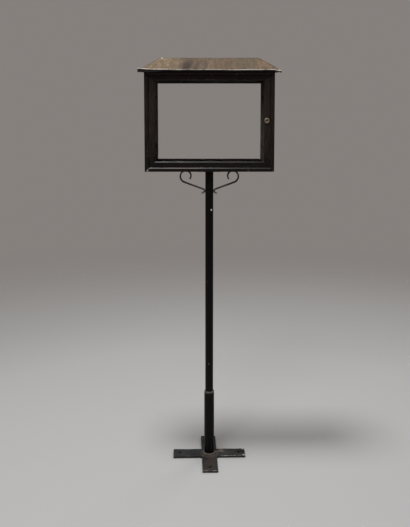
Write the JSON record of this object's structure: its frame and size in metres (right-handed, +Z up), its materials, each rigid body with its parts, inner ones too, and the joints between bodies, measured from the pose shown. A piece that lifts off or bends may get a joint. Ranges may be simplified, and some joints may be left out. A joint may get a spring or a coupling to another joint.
{
  "type": "menu display case on a post",
  "caption": "Glazed black iron menu case with a hipped sheet roof, hinged door and turning latch, on a post that turns in the socket of a cross base with bolt holes.",
  "frame": {"origin": "on the floor, on the axis of the post", "axes": "+Z up along the post, +X to the right of a person who faces the door, +Y away from them"},
  "size_m": [0.581, 0.3216, 1.701],
  "materials": {
    "black_paint": "aged satin black paint",
    "base_iron": "worn dark paint with rust",
    "weld_bead": "dusty, lightly rusted",
    "roof_patina": "weathered and dusty",
    "brass": "aged satin",
    "steel": "dull zinc",
    "glass": "clear"
  },
  "bodies": {
    "base": {"base_bar": "base_iron", "base_arm_left": "base_iron", "base_arm_right": "base_iron", "socket_tube": "black_paint", "socket_weld": "weld_bead"},
    "post_foot": {"post_foot_plug": "steel"},
    "stand": {"post_tube": "black_paint", "head_plate": "black_paint", "head_screws": "steel", "head_washers": "steel", "head_nuts": "steel", "scroll_left": "black_paint", "scroll_right": "black_paint", "scroll_rivets": "black_paint", "case_floor": "black_paint", "case_side_left": "black_paint", "case_side_right": "black_paint", "front_bar_bottom": "black_paint", "front_bar_top": "black_paint", "front_bar_left": "black_paint", "front_bar_right": "black_paint", "back_bar_bottom": "black_paint", "back_bar_top": "black_paint", "back_bar_left": "black_paint", "back_bar_right": "black_paint", "back_glass": "glass", "back_glass_clips": "steel", "back_clip_screws": "steel", "roof_sheet": "roof_patina", "roof_cleats": "black_paint", "roof_screws": "steel", "pivot_block_bottom": "black_paint", "pivot_block_top": "black_paint", "pivot_washer": "steel", "door_stops": "black_paint", "latch_keeper": "black_paint", "keeper_screws": "steel"},
    "door": {"door_rail_bottom": "black_paint", "door_rail_top": "black_paint", "door_stile_left": "black_paint", "door_stile_right": "black_paint", "door_glass": "glass", "door_glass_clips": "steel", "door_clip_screws": "steel", "pivot_pin_bottom": "steel", "pivot_pin_top": "steel", "knob_rosette": "brass", "latch_bush": "steel"},
    "latch": {"knob": "brass", "latch_spindle": "steel", "latch_cam": "steel", "latch_washer": "steel", "latch_nut": "steel"}
  },
  "joints": [
    {"name": "post_turn", "type": "hinge", "parent": "base", "child": "post_foot", "pos_m": [0, 0, 0.01], "axis": [0, 0, 1], "continuous": true},
    {"name": "post_lift", "type": "slide", "parent": "post_foot", "child": "stand", "axis": [0, 0, 1], "range_m": [0, 0.25]},
    {"name": "door_swing", "type": "hinge", "parent": "stand", "child": "door", "pos_m": [-0.2365, -0.0555, 1.2545], "axis": [0, 0, -1], "range_deg": [0, 120]},
    {"name": "knob_turn", "type": "hinge", "parent": "door", "child": "latch", "pos_m": [0.23255, -0.059, 1.444], "axis": [0, -1, 0], "range_deg": [0, 90]}
  ]
}
